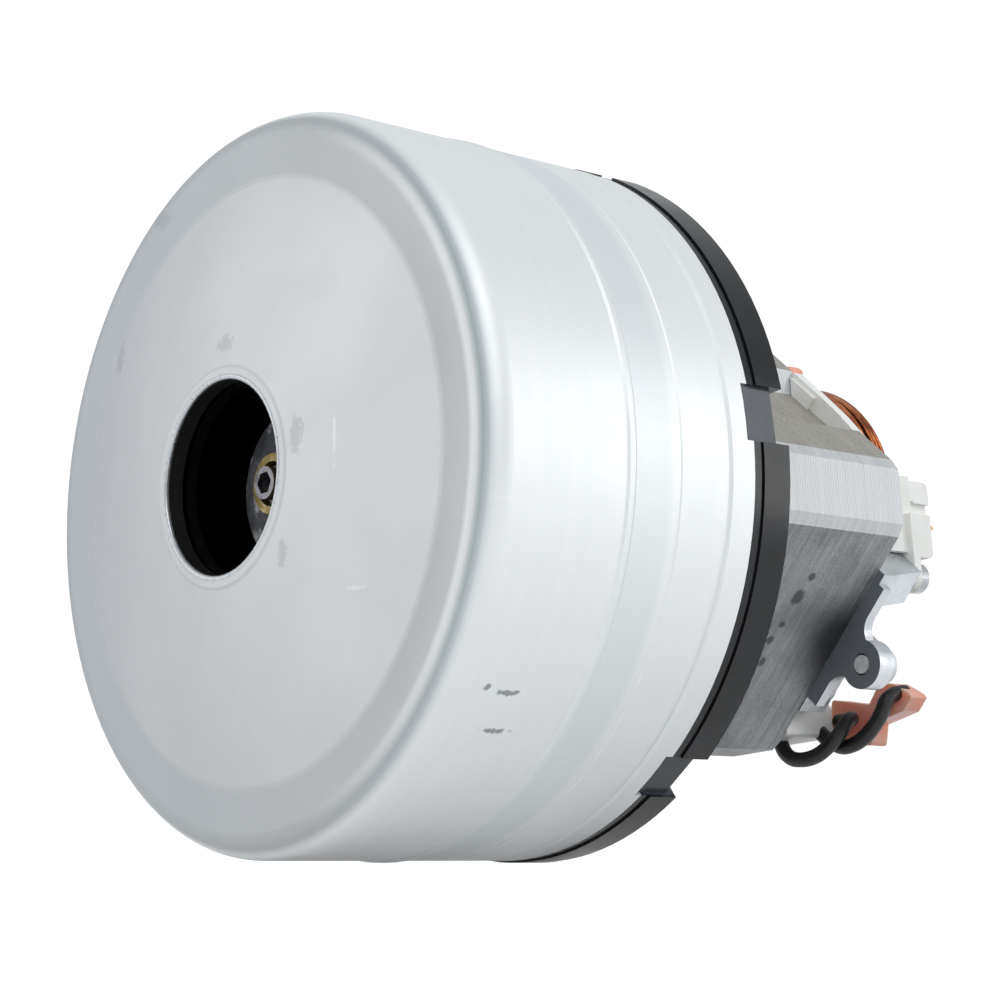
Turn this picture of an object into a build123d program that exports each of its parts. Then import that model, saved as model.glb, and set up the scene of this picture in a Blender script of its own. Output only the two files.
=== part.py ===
from build123d import *
import math
import os

# Two-stage through-flow vacuum motor unit. Lengths are in millimetres.
# The inlet lip lies at the origin and the motor runs along +Y, away from the inlet. +Z is up.
# Every piece is drawn in the motor frame: x to the side, y down, z along the shaft from the lip.

os.makedirs("parts", exist_ok=True)

# motor frame
clocking_deg = 5.0
side_dir = (math.cos(math.radians(clocking_deg)), 0, math.sin(math.radians(clocking_deg)))
motor_frame = Plane(origin=(0, 0, 0), x_dir=side_dir, z_dir=(0, 1, 0))
touch = 0.02
overrun = 1.0

# fan housing
can_r = 72.0
sheet = 0.9
inlet_r = 18.9
lip_r = 21.0
lip_depth = 4.0
lip_step = 0.3
lip_slope = 0.6
cone_inset = 13.1
cone_z = 6.9
cone_crown = 0.7
edge_radius = 5.0
bead_width = 2.4
bead_depth = 0.35
line_width = 1.0
line_depth = 0.22
groove_width = 1.8
groove_depth = 0.6
can_length = 70.9
bead_setback = 31.4
line_setback = 19.3
groove_setback = 6.6
cone_r = can_r - cone_inset
bead_z = can_length - bead_setback
line_z = can_length - line_setback
groove_z = can_length - groove_setback

# notches shared by the housing edge and the bracket ring
notch_count = 6
notch_start_deg = -3.8
notch_width = 11.2
can_notch_depth = 1.7
notch_flat_depth = 0.8
notch_rear_cut = 2.3
notch_flat_r = can_r - notch_flat_depth

# fan-end bracket
ring_stand = 0.4
ring_front_step = 2.2
ring_width = 9.1
ring_r = can_r + ring_stand
ring_rear_z = can_length + ring_width
spigot_clearance = 0.1
spigot_wall = 2.5
spigot_length = 10.0
disc_thickness = 3.0
disc_stand = 0.1
disc_rear_z = can_length + disc_stand
vent_count = 12
vent_inset = 9.0
vent_length = 15.0
vent_width = 8.0
vent_outer_r = can_r - vent_inset
vent_inner_r = vent_outer_r - vent_length
hub_wall = 3.0
post_r = 4.2
gusset_width = 2.4
gusset_height = 8.0

# shaft and bearings
shaft_r = 4.0
shaft_tip_r = 3.2
shaft_front_z = 10.3
shaft_end_inset = 0.2
shaft_body_r = 5.0
hex_hole_across = 4.0
hex_hole_depth = 5.0
bearing_r = 11.0
bearing_width = 7.0
race_wall = 1.7
ball_r = 1.95
ball_count = 7
ball_clearance = 0.03
cage_wall = 0.7
cage_width = 5.2
bearing_seat_inset = 5.0
front_bearing_z = disc_rear_z - bearing_seat_inset

# fans
fan_sheet = 1.0
fan_clearance = 8.0
fan_r = can_r - fan_clearance
eye_r = 18.4
eye_wall = 0.8
fan_shoulder_r = 23.0
blade_count = 9
blade_thickness = 0.9
blade_sweep_deg = 62.0
bow_share = 0.36
fan1_eye_z = 4.9
fan1_eye_height = 1.5
fan1_cone_height = 6.2
fan1_tip_height = 8.9
fan2_eye_height = 2.0
fan2_cone_height = 4.6
fan2_tip_height = 8.2
fan2_setback = 13.0
boss_r = 15.0
boss_height = 6.5
boss_drop = 1.4
boss_crown = 0.3
clamp_washer_r = 12.0
clamp_washer_height = 1.0
brass_washer_r = 5.9
brass_washer_wall = 1.5
brass_washer_height = 3.1
nut_across = 7.4
nut_height = 1.8
spacer_r = 7.0
spacer_clearance = 0.6
fan1_shoulder_z = fan1_eye_z + fan1_eye_height
fan1_tip_z = fan1_shoulder_z + fan1_cone_height
fan1_back_z = fan1_tip_z + fan1_tip_height
fan2_back_z = disc_rear_z - disc_thickness - fan2_setback
fan2_tip_z = fan2_back_z - fan2_tip_height
fan2_shoulder_z = fan2_tip_z - fan2_cone_height
fan2_eye_z = fan2_shoulder_z - fan2_eye_height

# stationary guides between the stages
guide_clearance = 7.0
guide_gap = 1.0
guide_sheet = 1.0
vane_count = 10
vane_thickness = 1.2
vane_inner_r = 26.0
vane_sweep_deg = -48.0
stage2_eye_overlap = 0.6
stage2_rim_width = 3.2
stage2_eye_r = 20.5
diffuser_inner_r = 34.0
diffuser_vane_count = 14
diffuser_vane_height = 7.0
diffuser_sweep_deg = 34.0
guide_r = can_r - guide_clearance
guide_z = fan1_back_z + fan_sheet + clamp_washer_height + guide_gap
boss_front_z = fan1_back_z - boss_height
stage2_plate_z = fan2_eye_z - stage2_eye_overlap

# stator core
post_stand = 12.0
stack_length = 48.0
stack_front_z = ring_rear_z + post_stand
stack_rear_z = stack_front_z + stack_length
face_distance = 39.2
corner_distance = 48.6
corner_half_flat = 6.0
corner_bevel = 1.6
bore_r = 22.5
horn_r = 24.6
slot_opening_deg = 28.0
slot_depth = 31.5
slot_top_half = 13.0
slot_side_half = 19.9
slot_side_out = 26.8
slot_root_half = 14.5
slot_root_out = 16.0
recess_drop = 4.0
recess_near = 16.6
recess_far = 21.0
bolt_out = 34.5
bolt_across = 15.0

# field coils
coil_angle_deg = 62.0
coil_core_inner_r = 25.8
coil_outer_r = 32.2
coil_arc_offset = 8.0
coil_bend_inner = 4.0
coil_bend_outer = 10.5
coil_rise = 3.7
wire_r = 0.5
wire_gap = 0.45
wire_sides = 6
rear_face_loops = 5
side_face_loops = 4
wire_end_share = 0.86

# coil formers and terminal blocks
former_sheet = 1.2
former_lip = 1.0
former_lip_gap = 0.4
former_lip_height = 2.6
former_reach = 39.2
former_fall = 1.0
former_near = 8.8
former_far = 16.0
former_tooth_depth = 1.1
former_tooth_drop = 1.0
former_tooth_far = 0.7
saddle_half_deg = 50.0
saddle_wall = 5.2
block_left_x = -9.0
block_right_x = 10.7
upper_block_left_x = 2.5
upper_block_right_x = 11.0
block_inner_y = 38.5
block_outer_y = 46.0
block_height = 15.0
block_pocket_x = 7.4
block_pocket_width = 5.4
block_pocket_depth = 3.6
block_pocket_height = 8.0

# armature
armature_r = 22.0
armature_inset = 1.0
armature_slots = 12
slot_mouth = 2.0
slot_body_r = 2.6
slot_body_centre_r = 17.4
overhang_front_length = 10.0
overhang_rear_length = 9.0
overhang_inner_r = 6.5
overhang_outer_r = 20.0
overhang_round = 4.0
winding_gap = 0.3
commutator_r = 13.0
commutator_gap = 1.0
commutator_length = 16.6
commutator_bar_depth = 3.0
riser_r = 14.6
riser_width = 2.2
bar_count = 24
bar_gap = 0.45
armature_front_z = stack_front_z + armature_inset
armature_rear_z = stack_rear_z - armature_inset
overhang_front_z = armature_front_z - overhang_front_length
overhang_rear_z = armature_rear_z + overhang_rear_length
commutator_front_z = overhang_rear_z + commutator_gap
commutator_rear_z = commutator_front_z + commutator_length
rear_bearing_gap = 0.8
rear_bearing_z = commutator_rear_z + rear_bearing_gap
shaft_rear_z = rear_bearing_z + bearing_width - shaft_end_inset

# end bracket, with sizes out from the shaft and across each plain side
leg_inner = 31.2
leg_outer = 41.0
leg_top_outer = 37.9
leg_height = 15.0
leg_near = 10.5
leg_far = 18.8
low_leg_outer = 39.5
low_leg_height = 8.0
low_leg_near = 9.0
low_leg_far = 18.6
flange_outer = 42.7
flange_near = 14.8
flange_far = 16.3
flange_flat = 9.4
flange_thickness = 2.5
ear_out = 47.5
ear_r = 5.3
ear_thickness = 4.5
ear_neck_half = 4.7
ear_neck_set = 1.7
ear_curve_out = 0.6
ear_curve_half = 6.8
ear_hole_clearance = 0.4
wall_outer = 34.0
wall_height = 7.0
arm_lean_deg = -7.0
arm_half_width = 2.6
arm_foot_inner = 29.6
arm_foot_outer = 33.6
arm_foot_low = 4.0
arm_foot_high = 8.3
arm_knee = 30.5
arm_knee_height = 11.5
arm_under = 26.5
arm_under_height = 10.5
rear_hub_wall = 2.0
rear_hub_cap = 1.0
leg_top_z = stack_rear_z + leg_height
low_leg_top_z = stack_rear_z + low_leg_height

# bolts and screws
bolt_r = 1.95
bolt_clearance = 0.25
bolt_head_r = 3.4
bolt_head_height = 2.4
bolt_reach = 13.0
bolt_tip_gap = 1.0
ear_screw_r = 2.0
ear_screw_head_r = 4.0
ear_screw_head_height = 2.6

# brush gear
brush_from_riser = 11.8
brush_width = 6.4
brush_height = 8.0
brush_gap = 0.3
brush_length = 12.0
brush_clearance = 0.1
tube_wall = 0.6
tube_inner_x = 15.6
tube_outer_x = 33.0
holder_inner_x = 18.0
holder_outer_x = 34.4
holder_half_width = 8.6
holder_half_height = 5.8
holder_corner = 1.5
holder_groove = 1.1
holder_groove_near = 3.6
holder_groove_far = 1.2
foot_inner_x = 28.5
foot_outer_x = 38.4
foot_outer_y = 17.2
foot_height = 2.2
foot_corner = 3.0
skirt_inner_x = 35.4
skirt_outer_x = 37.0
skirt_gap = 1.3
spring_coil_r = 2.5
spring_wire = 0.7
spring_turns = 5
spring_sides = 4
spring_end_gap = 0.2
brush_plane_z = commutator_front_z + brush_from_riser
holder_front_z = brush_plane_z - holder_half_height
holder_rear_z = brush_plane_z + holder_half_height
high_leg_top_z = leg_top_z + foot_height
tab_width = 4.8
tab_thickness = 0.8
brush_tab_width = 6.3
brush_tab_x = 23.0
brush_tab_length = 7.0

# connectors and leads
flag_body = (12.8, 9.1, 5.2)
flag_tail_shares = ((0.3, -0.2), (0.44, -0.27), (0.71, -0.6), (1.01, -0.55), (1.36, -0.33),
                    (1.4, -0.26), (1.2, -0.05), (0.3, 0.12))
straight_body = (18.2, 8.6, 5.6)
flag_round = 0.9
flag_grip = 4.0
lower_flag_angle = 13.0
flag_stand = 22.6
lower_flag_centre = (12.0, 42.6, stack_rear_z + flag_stand)
upper_centre = (-1.5, -41.0, stack_rear_z + flag_stand)
lead_r = 1.7
fillet_share = 0.45
lower_long_route = (
    (25.6, 37.5, 163.0), (25.9, 37.9, 157.0), (24.2, 43.4, 155.6), (19.6, 48.4, 153.6),
    (13.4, 49.0, 152.4), (9.4, 44.6, 152.0)
)
lower_short_route = (
    (1.3, 45.0, 147.6), (2.0, 50.0, 147.6), (10.6, 51.2, 147.8), (16.6, 47.4, 149.0),
    (17.0, 42.4, 153.6), (14.6, 42.3, 157.7), (9.9, 42.25, 157.7)
)
upper_route = (
    (-10.2, -41.0, 162.6), (-17.0, -42.6, 165.0), (-25.0, -40.0, 166.0), (-31.0, -31.0, 167.0),
    (-33.0, -18.0, 169.0), (-31.4, -7.0, 171.4), (-26.2, -2.4, 171.6)
)


def place(shape):
    return motor_frame.location * shape


def tube(outer_r, inner_r, low, high):
    wall = Pos(0, 0, (low + high) / 2) * Cylinder(outer_r, high - low)
    return wall - Pos(0, 0, (low + high) / 2) * Cylinder(inner_r, high - low + 2 * overrun)


def rod(radius, low, high):
    return Pos(0, 0, (low + high) / 2) * Cylinder(radius, high - low)


def block(x_range, y_range, z_range):
    size = [high - low for low, high in (x_range, y_range, z_range)]
    centre = [(high + low) / 2 for low, high in (x_range, y_range, z_range)]
    return Pos(*centre) * Box(*size)


def turned(shape, degrees):
    return Rot(0, 0, degrees) * shape


def spun(points):
    outline = make_face(Plane.XZ * Polyline(*points, close=True))
    return revolve(outline, axis=Axis.Z)


def drawn(outline, low, high):
    return Pos(0, 0, low) * extrude(outline, high - low)


def fused(pieces):
    whole = pieces[0]
    for piece in pieces[1:]:
        whole = whole + piece
    return whole


def save(name, pieces):
    solids = []
    for piece in pieces:
        solids += list(place(piece).solids())
    shape = solids[0] if len(solids) == 1 else Compound(children=solids)
    export_step(shape, f"parts/{name}.step")


# sides of the core: the plain sides carry the end bracket, the pole sides carry the field coils
plain_side_deg = 45.0
pole_side_deg = -45.0
half_turn = 180.0
quarter_turn = 90.0
root_two = math.sqrt(2.0)

bracket_inner_r = can_r - sheet - spigot_clearance - spigot_wall
spigot_r = can_r - sheet - spigot_clearance
disc_front_z = disc_rear_z - disc_thickness
notch_angles = [notch_start_deg + k * 360.0 / notch_count for k in range(notch_count)]


def skin_outline(depth):
    # the space under the pressed sheet, followed a given depth below its outer skin
    side = can_r - depth
    band = cone_z + depth
    radius = edge_radius - depth
    lip_foot = (lip_r - depth / 2, depth)
    cone_foot = (lip_r + lip_slope - depth / 2, lip_step + depth)
    cone_top = (cone_r, band)
    crown = ((cone_foot[0] + cone_top[0]) / 2, (cone_foot[1] + cone_top[1]) / 2 - cone_crown)
    bend_start = (side - radius, band)
    bend_end = (side, band + radius)
    bend_middle = (
        side - radius + radius * math.sin(math.radians(plain_side_deg)),
        band + radius - radius * math.cos(math.radians(plain_side_deg)),
    )
    wall = [bend_end]
    marks = ((bead_z, bead_width, bead_depth), (line_z, line_width, -line_depth),
             (groove_z, groove_width, -groove_depth))
    for centre, width, rise in marks:
        wall += [(side, centre - width / 2), (side + rise, centre - width / 4)]
        wall += [(side + rise, centre + width / 4), (side, centre + width / 2)]
    wall += [(side, can_length), (0, can_length)]
    edges = Polyline((0, can_length), (0, depth), lip_foot, cone_foot)
    edges += ThreePointArc(cone_foot, crown, cone_top)
    edges += Line(cone_top, bend_start)
    edges += ThreePointArc(bend_start, bend_middle, bend_end)
    edges += Polyline(*wall)
    return make_face(Plane.XZ * edges)


def make_fan_housing():
    shell = revolve(skin_outline(0), axis=Axis.Z) - revolve(skin_outline(sheet), axis=Axis.Z)
    shell += tube(inlet_r + sheet, inlet_r, 0, lip_depth)
    shell -= rod(inlet_r, -overrun, lip_depth + overrun)
    edge_cut = block(
        (can_r - sheet - bead_width, can_r + overrun), (-notch_width / 2, notch_width / 2),
        (can_length - can_notch_depth, can_length + overrun)
    )
    for angle in notch_angles:
        shell -= turned(edge_cut, angle)
    return shell


def fan_front(eye_z, shoulder_z, tip_z):
    return spun([
        (eye_r, eye_z), (eye_r + eye_wall, eye_z), (eye_r + eye_wall, shoulder_z - fan_sheet / 2),
        (fan_shoulder_r, shoulder_z), (fan_r, tip_z), (fan_r, tip_z + fan_sheet),
        (fan_shoulder_r, shoulder_z + fan_sheet), (eye_r, shoulder_z + fan_sheet / 2)
    ])


def curved_strip(inner_r, outer_r, sweep_deg, thickness):
    # a blade seen from the front: one arc from the inner to the outer radius
    sweep = math.radians(sweep_deg)
    middle_r = (inner_r + outer_r) / 2
    start = (inner_r, 0)
    middle = (middle_r * math.cos(sweep * bow_share), middle_r * math.sin(sweep * bow_share))
    end = (outer_r * math.cos(sweep), outer_r * math.sin(sweep))
    return trace(ThreePointArc(start, middle, end), thickness)


def blade_ring(count, blade, space):
    one = blade & space
    return [turned(one, k * 360.0 / count) for k in range(count)]


def fan_blades(shoulder_z, tip_z, back_z):
    space = spun([
        (fan_shoulder_r, shoulder_z + fan_sheet), (fan_r, tip_z + fan_sheet), (fan_r, back_z),
        (fan_shoulder_r, back_z)
    ])
    strip = curved_strip(fan_shoulder_r + blade_thickness, fan_r - blade_thickness,
                         blade_sweep_deg, blade_thickness)
    return blade_ring(blade_count, drawn(strip, shoulder_z, back_z + overrun), space)


def make_interstage_guide():
    vane_top = stage2_plate_z
    guide = tube(guide_r, spacer_r + spacer_clearance, guide_z, guide_z + guide_sheet)
    space = tube(spigot_r, vane_inner_r, guide_z + guide_sheet - touch, vane_top)
    strip = curved_strip(vane_inner_r + vane_thickness, spigot_r + vane_thickness,
                         vane_sweep_deg, vane_thickness)
    vane = drawn(strip, guide_z, vane_top + overrun)
    return fused([guide] + blade_ring(vane_count, vane, space))


def make_stage2_plate():
    plate = tube(spigot_r, stage2_eye_r, stage2_plate_z, stage2_plate_z + guide_sheet)
    return plate + tube(spigot_r, spigot_r - guide_sheet, stage2_plate_z,
                        stage2_plate_z + stage2_rim_width)


def make_diffuser():
    plate_z = disc_front_z - diffuser_vane_height
    plate = tube(guide_r, spacer_r + clamp_washer_r / 2, plate_z - guide_sheet, plate_z)
    space = tube(fan_r, diffuser_inner_r, plate_z - touch, disc_front_z)
    strip = curved_strip(diffuser_inner_r + vane_thickness, guide_r, diffuser_sweep_deg,
                         vane_thickness)
    vane = drawn(strip, plate_z - overrun, disc_front_z + overrun)
    return fused([plate] + blade_ring(diffuser_vane_count, vane, space))


def bolt_spots():
    # the four through bolts, two beside each plain side of the core
    spots = []
    for side in (plain_side_deg, plain_side_deg + half_turn):
        for across in (-bolt_across, bolt_across):
            spots.append((side, across))
    return spots


def at_bolt(shape, side, across):
    return turned(Pos(bolt_out, across, 0) * shape, side)


def make_fan_end_bracket():
    body = tube(ring_r, bracket_inner_r, can_length + ring_front_step, ring_rear_z)
    body += tube(can_r, bracket_inner_r, can_length, can_length + ring_front_step)
    body += tube(spigot_r, bracket_inner_r, can_length - spigot_length, can_length)
    body += tube(spigot_r, bearing_r, disc_front_z, disc_rear_z)
    hub_r = bearing_r + hub_wall
    hub_rear_z = front_bearing_z + bearing_width + hub_wall
    body += tube(hub_r, bearing_r, front_bearing_z, hub_rear_z)
    body += tube(hub_r, spacer_r + spacer_clearance, front_bearing_z - sheet, front_bearing_z)
    post_hole = rod(bolt_r + touch, stack_front_z - bolt_reach, stack_front_z + overrun)
    for side, across in bolt_spots():
        reach = math.hypot(bolt_out, across)
        lean = math.degrees(math.atan2(across, bolt_out))
        gusset = block((reach, bracket_inner_r + touch), (-gusset_width / 2, gusset_width / 2),
                       (disc_rear_z - touch, disc_rear_z + gusset_height))
        body += turned(gusset, side + lean)
        body += at_bolt(rod(post_r, disc_rear_z - touch, stack_front_z), side, across)
        body -= at_bolt(post_hole, side, across)
    vent = block((vent_inner_r, vent_outer_r), (-vent_width / 2, vent_width / 2),
                 (disc_front_z - overrun, disc_rear_z + overrun))
    for k in range(vent_count):
        body -= turned(vent, (k + 0.5) * 360.0 / vent_count)
    staked = tube(can_r, can_r - sheet - groove_depth - spigot_clearance,
                  groove_z - groove_width / 2, groove_z + groove_width / 2)
    body -= staked
    half = notch_width / 2
    flat_cut = block((notch_flat_r - spigot_clearance, can_r + ring_front_step), (-half, half),
                     (can_length, ring_rear_z + overrun))
    rear_cut = block((bracket_inner_r - overrun, can_r + ring_front_step), (-half, half),
                     (ring_rear_z - notch_rear_cut, ring_rear_z + overrun))
    inset = half - spigot_clearance
    tab = block((bracket_inner_r + touch, notch_flat_r), (-inset, inset),
                (can_length - can_notch_depth + spigot_clearance, can_length + touch))
    for angle in notch_angles:
        body -= turned(flat_cut, angle)
        body -= turned(rear_cut, angle)
        body += turned(tab, angle)
    return body


def bearing(low):
    # outer race, inner race, balls and cage of one deep-groove ball bearing
    high = low + bearing_width
    middle = (low + high) / 2
    pitch_r = (bearing_r + shaft_r) / 2
    track = Pos(0, 0, middle) * Torus(pitch_r, ball_r + ball_clearance)
    outer = tube(bearing_r, bearing_r - race_wall, low, high) - track
    inner = tube(shaft_r + race_wall, shaft_r, low, high) - track
    cage = tube(pitch_r + cage_wall / 2, pitch_r - cage_wall / 2,
                middle - cage_width / 2, middle + cage_width / 2)
    pocket = Cylinder(ball_r + ball_clearance, ball_r)
    balls = []
    for k in range(ball_count):
        spot = Pos(pitch_r, 0, middle)
        angle = k * 360.0 / ball_count
        balls.append(turned(spot * Sphere(ball_r), angle))
        cage -= turned(spot * Rot(0, quarter_turn, 0) * pocket, angle)
    return outer, inner, balls, cage


def make_shaft():
    body_front_z = front_bearing_z + bearing_width
    shaft = rod(shaft_tip_r, shaft_front_z, shaft_rear_z)
    shaft += rod(shaft_r, boss_front_z, shaft_rear_z)
    shaft += rod(shaft_body_r, body_front_z, rear_bearing_z)
    key = extrude(RegularPolygon(hex_hole_across / 2, 6, major_radius=False), hex_hole_depth)
    return shaft - Pos(0, 0, shaft_front_z) * key


def make_nut(low):
    body = extrude(RegularPolygon(nut_across / 2, 6, major_radius=False), nut_height)
    return Pos(0, 0, low) * body - rod(shaft_tip_r, low - overrun, low + nut_height + overrun)


def make_boss():
    # a domed clamp washer, flat under the brass one
    flat = (brass_washer_r, boss_front_z)
    rim = (boss_r, boss_front_z + boss_drop)
    crown = ((flat[0] + rim[0]) / 2, (flat[1] + rim[1]) / 2 - boss_crown)
    edges = Polyline(rim, (boss_r, fan1_back_z), (shaft_r, fan1_back_z), (shaft_r, boss_front_z), flat)
    edges += ThreePointArc(flat, crown, rim)
    return revolve(make_face(Plane.XZ * edges), axis=Axis.Z)


def make_stator_core():
    diagonal = face_distance * root_two
    bevel_x = corner_distance - corner_bevel
    corner = [(bevel_x, bevel_x - diagonal), (corner_distance, -corner_half_flat),
              (corner_distance, corner_half_flat), (bevel_x, diagonal - bevel_x)]
    outline = []
    for turn in range(4):
        for x, y in corner:
            outline.append(Vector(x, y).rotate(Axis.Z, turn * quarter_turn))
    face = make_face(Polyline(*outline, close=True))
    floor_sum = (face_distance - recess_drop) * root_two
    beyond = corner_distance + overrun
    recess = make_face(Polyline(
        (floor_sum - recess_near, -recess_near), (recess_far, recess_far - floor_sum),
        (recess_far, -beyond), (beyond, -beyond), (beyond, -recess_near), close=True
    ))
    slot = make_face(Polyline(
        (slot_side_out, -slot_side_half), (slot_depth, -slot_top_half), (slot_depth, slot_top_half),
        (slot_side_out, slot_side_half), (slot_root_out, slot_root_half),
        (slot_root_out, -slot_root_half), close=True
    )) - Circle(horn_r)
    spread = math.tan(math.radians(slot_opening_deg))
    mouth = make_face(Polyline(
        (slot_root_out, -slot_root_out * spread), (slot_side_out, -slot_side_out * spread),
        (slot_side_out, slot_side_out * spread), (slot_root_out, slot_root_out * spread), close=True
    ))
    face -= Circle(bore_r)
    for turn in (0, half_turn):
        face -= turned(recess, turn)
        face -= turned(slot, plain_side_deg + turn)
        face -= turned(mouth, plain_side_deg + turn)
    for side, across in bolt_spots():
        face -= at_bolt(Circle(bolt_r + bolt_clearance), side, across)
    return drawn(face, stack_front_z, stack_rear_z)


# A field coil is drawn with x along its pole. Its legs run along z and its two overhangs bend
# round the rotor on one shared centre line.
coil_angle = math.radians(coil_angle_deg)
coil_mid_z = (stack_front_z + stack_rear_z) / 2
coil_leg_z = (stack_rear_z - stack_front_z) / 2 + coil_rise
coil_end_z = coil_leg_z * wire_end_share
arc_centre_x = coil_arc_offset / math.sin(coil_angle)
arc_shorter = coil_arc_offset / math.tan(coil_angle)
saddle_top = coil_rise + coil_bend_inner - former_lip_gap / 2


def coil_corner(radius, bend_r):
    # where a leg stands, and where its bend reaches the overhang, on the +y side
    out = Vector(math.cos(coil_angle), math.sin(coil_angle))
    along = Vector(math.sin(coil_angle), -math.cos(coil_angle))
    leg = out * radius + along * (coil_arc_offset - bend_r)
    knee = out * radius + along * coil_arc_offset
    halfway = out * radius + along * (coil_arc_offset - bend_r * math.cos(math.pi / 4))
    return leg, knee, halfway


def point(flat, side, z):
    return (flat.X, side * flat.Y, coil_mid_z + z)


def overhang_edges(radius, bend_r, first_side, end):
    # from the leg on the first side, over one end of the core, to the leg on the other side
    leg, knee, halfway = coil_corner(radius, bend_r)
    bend_z = coil_leg_z + bend_r * math.sin(math.pi / 4)
    top_z = coil_leg_z + bend_r
    apex = Vector(arc_centre_x + radius - arc_shorter, 0)
    return [
        ThreePointArc(point(leg, first_side, end * coil_leg_z),
                      point(halfway, first_side, end * bend_z),
                      point(knee, first_side, end * top_z)),
        ThreePointArc(point(knee, first_side, end * top_z), point(apex, 1, end * top_z),
                      point(knee, -first_side, end * top_z)),
        ThreePointArc(point(knee, -first_side, end * top_z),
                      point(halfway, -first_side, end * bend_z),
                      point(leg, -first_side, end * coil_leg_z)),
    ]


def shift_edges(start, end):
    # two arcs that carry a leg sideways to the next loop, parallel to the shaft at both ends
    start, end = Vector(*start), Vector(*end)
    middle = (start + end) / 2
    half_height = (end.Z - start.Z) / 2
    sideways = (Vector(end.X, end.Y) - Vector(start.X, start.Y)) / 2
    shift = sideways.length
    radius = (half_height ** 2 + shift ** 2) / (2 * shift)
    turn = math.asin(abs(half_height) / radius) / 2
    drop = sideways.normalized() * radius * (1 - math.cos(turn))
    rise = Vector(0, 0, math.copysign(radius * math.sin(turn), half_height))
    return [ThreePointArc(start, start + drop + rise, middle),
            ThreePointArc(middle, end - drop - rise, end)]


def coil_path():
    # one wire: loops over the rear face of the bundle first, then down its outer face
    pitch = 2 * wire_r + wire_gap
    loops = [(coil_outer_r - k * pitch, coil_bend_outer) for k in reversed(range(rear_face_loops))]
    loops += [(coil_outer_r, coil_bend_outer - (k + 1) * pitch) for k in range(side_face_loops)]
    edges = []
    first_leg = coil_corner(*loops[0])[0]
    edges.append(Line(point(first_leg, 1, coil_end_z), point(first_leg, 1, coil_leg_z)))
    for count, loop in enumerate(loops):
        leg = coil_corner(*loop)[0]
        following = loops[min(count + 1, len(loops) - 1)]
        next_leg = coil_corner(*following)[0]
        edges += overhang_edges(*loop, 1, 1)
        if count + 1 < rear_face_loops:
            edges.append(Line(point(leg, -1, coil_leg_z), point(leg, -1, -coil_leg_z)))
            edges += overhang_edges(*loop, -1, -1)
            edges += shift_edges(point(leg, 1, -coil_leg_z), point(next_leg, 1, coil_leg_z))
        elif count + 1 < len(loops):
            edges += shift_edges(point(leg, -1, coil_leg_z), point(next_leg, -1, -coil_leg_z))
            edges += overhang_edges(*following, -1, -1)
            edges.append(Line(point(next_leg, 1, -coil_leg_z), point(next_leg, 1, coil_leg_z)))
        else:
            edges.append(Line(point(leg, -1, coil_leg_z), point(leg, -1, coil_end_z)))
    return edges, len(loops)


def least_gap(edges, per_edge):
    # smallest space between the wire and itself, away from its own neighbourhood
    spots = []
    run = 0.0
    for edge in edges:
        for k in range(per_edge):
            spots.append((run + edge.length * k / per_edge, edge @ (k / per_edge)))
        run += edge.length
    least = run
    for i, (here, a) in enumerate(spots):
        for k in range(i + 1, len(spots) - 1):
            there, b = spots[k]
            if there - here < coil_leg_z or abs(a.X - b.X) > coil_bend_inner:
                continue
            if abs(a.Y - b.Y) > coil_bend_inner or abs(a.Z - b.Z) > coil_leg_z / 4:
                continue
            step = spots[k + 1][1] - b
            share = max(0.0, min(1.0, (a - b).dot(step) / step.dot(step)))
            least = min(least, (a - b - step * share).length)
    return least - 2 * wire_r


def make_field_winding():
    edges, loops = coil_path()
    path = Wire([edge.edge() for edge in edges])
    start = Plane(origin=path @ 0, z_dir=path % 0)
    section = start * RegularPolygon(wire_r, wire_sides)
    print("field winding loops", loops, "least gap", round(least_gap(edges, wire_sides), 2))
    return sweep(section, path=path)


def make_field_core():
    # the plain bundle under the outer layer of wire
    low_r, high_r = coil_core_inner_r, coil_outer_r - wire_r - touch
    low_bend, high_bend = coil_bend_inner, coil_bend_outer - wire_r - touch
    half = coil_leg_z
    flat = Rot(0, 0, coil_angle_deg)
    leg_box = block((low_r, high_r), (-(coil_arc_offset - low_bend), high_bend - coil_arc_offset),
                    (-half, half))
    knee_plane = Plane(origin=(0, -coil_arc_offset, half), x_dir=(1, 0, 0), z_dir=(0, 0, 1))
    section = knee_plane * make_face(Polyline(
        (low_r, low_bend), (high_r, low_bend), (high_r, high_bend), (low_r, high_bend), close=True))
    bend_axis = Axis((0, -coil_arc_offset, half), (1, 0, 0))
    bend = revolve(section, axis=bend_axis, revolution_arc=quarter_turn)
    overhang = make_face(Plane.XZ * Polyline(
        (low_r - arc_shorter, half + low_bend), (high_r - arc_shorter, half + low_bend),
        (high_r - arc_shorter, half + high_bend), (low_r - arc_shorter, half + high_bend),
        close=True))
    arc = revolve(Rot(0, 0, -coil_angle_deg) * overhang, axis=Axis.Z,
                  revolution_arc=2 * coil_angle_deg)
    arc = Pos(arc_centre_x, 0, 0) * arc
    one_side = flat * (leg_box + bend + mirror(bend, about=Plane.XY))
    whole = one_side + mirror(one_side, about=Plane.XZ)
    whole = whole + arc + mirror(arc, about=Plane.XY)
    return Pos(0, 0, coil_mid_z) * whole


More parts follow.
